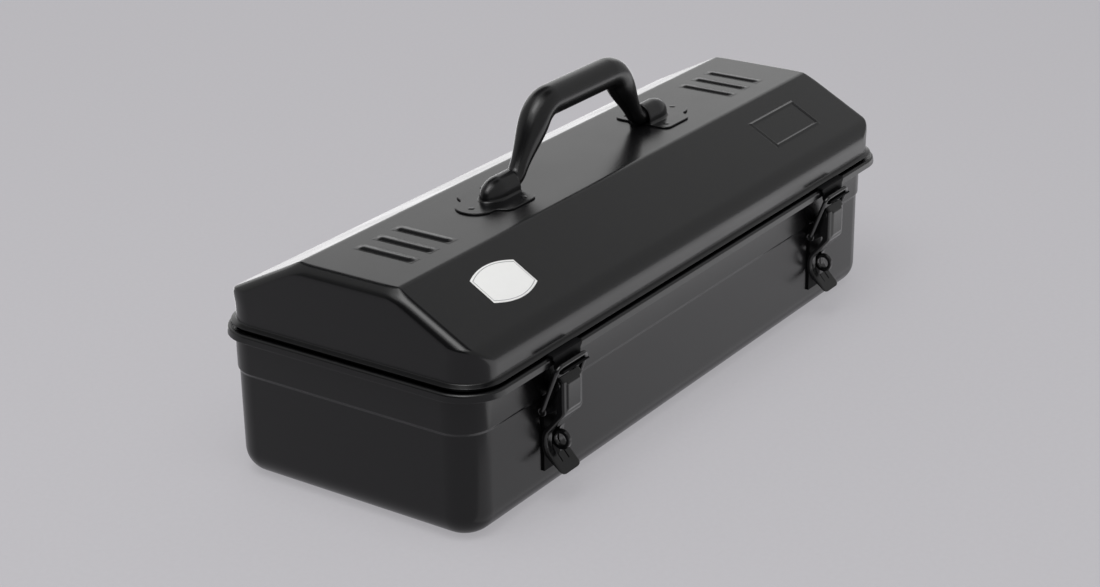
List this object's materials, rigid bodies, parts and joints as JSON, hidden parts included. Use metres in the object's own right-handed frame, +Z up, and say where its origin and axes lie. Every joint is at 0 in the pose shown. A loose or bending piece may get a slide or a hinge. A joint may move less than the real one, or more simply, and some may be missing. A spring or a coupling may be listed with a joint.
{
  "type": "steel toolbox",
  "caption": "Camber-top steel toolbox with a hinged lid, a folding bail handle on domed brackets and over-centre draw latches with padlock eyes.",
  "frame": {"origin": "on the floor, under the middle of the rim's outline", "axes": "+X along the box, +Y to the hinges at the back, +Z up; the latches face -Y"},
  "size_m": [0.417, 0.1799, 0.1728],
  "materials": {
    "black_paint": "satin black enamel on pressed steel",
    "black_fittings": "semi-gloss black on pressed fittings",
    "plated_steel": "dull plated steel",
    "label_white": "matt white label stock"
  },
  "bodies": {
    "base": {"base_tub": "black_paint", "hinge_base_leaf_left": "black_fittings", "hinge_base_leaf_right": "black_fittings", "hinge_pin_left": "plated_steel", "hinge_pin_right": "plated_steel", "hinge_rivets": "black_fittings", "latch_plate_left": "black_fittings", "latch_plate_right": "black_fittings", "padlock_eye_left": "black_fittings", "padlock_eye_right": "black_fittings", "lever_pin_left": "black_fittings", "lever_pin_right": "black_fittings", "latch_rivets": "black_fittings"},
    "lid": {"lid_shell": "black_paint", "lid_label": "label_white", "handle_bracket_left": "black_fittings", "handle_bracket_right": "black_fittings", "bracket_rivets": "black_fittings", "hinge_lid_leaf_left": "black_fittings", "hinge_lid_leaf_right": "black_fittings", "latch_keeper_left": "black_fittings", "latch_keeper_right": "black_fittings"},
    "handle": {"handle": "black_fittings"},
    "lever_left": {"latch_lever_left": "black_fittings"},
    "link_left": {"latch_link_left": "black_fittings", "link_pin_left": "black_fittings"},
    "lever_right": {"latch_lever_right": "black_fittings"},
    "link_right": {"latch_link_right": "black_fittings", "link_pin_right": "black_fittings"}
  },
  "joints": [
    {"name": "lid_hinge", "type": "hinge", "parent": "base", "child": "lid", "pos_m": [0, 0.08675, 0.085], "axis": [-1, 0, 0], "range_deg": [0, 100]},
    {"name": "handle_fold", "type": "hinge", "parent": "lid", "child": "handle", "pos_m": [0, 0, 0.13035], "axis": [1, 0, 0], "range_deg": [-80, 80]},
    {"name": "lever_left_pivot", "type": "hinge", "parent": "base", "child": "lever_left", "pos_m": [-0.1365, -0.08366, 0.067], "axis": [-1, 0, 0], "range_deg": [0, 105]},
    {"name": "link_left_pivot", "type": "hinge", "parent": "lever_left", "child": "link_left", "pos_m": [-0.1365, -0.078, 0.053], "axis": [-1, 0, 0], "range_deg": [-57.75, 0]},
    {"name": "lever_right_pivot", "type": "hinge", "parent": "base", "child": "lever_right", "pos_m": [0.1365, -0.08366, 0.067], "axis": [-1, 0, 0], "range_deg": [0, 105]},
    {"name": "link_right_pivot", "type": "hinge", "parent": "lever_right", "child": "link_right", "pos_m": [0.1365, -0.078, 0.053], "axis": [-1, 0, 0], "range_deg": [-57.75, 0]}
  ],
  "couplings": [
    {"joint": "link_left_pivot", "follows": "lever_left_pivot", "ratio": -0.55},
    {"joint": "link_right_pivot", "follows": "lever_right_pivot", "ratio": -0.55}
  ]
}
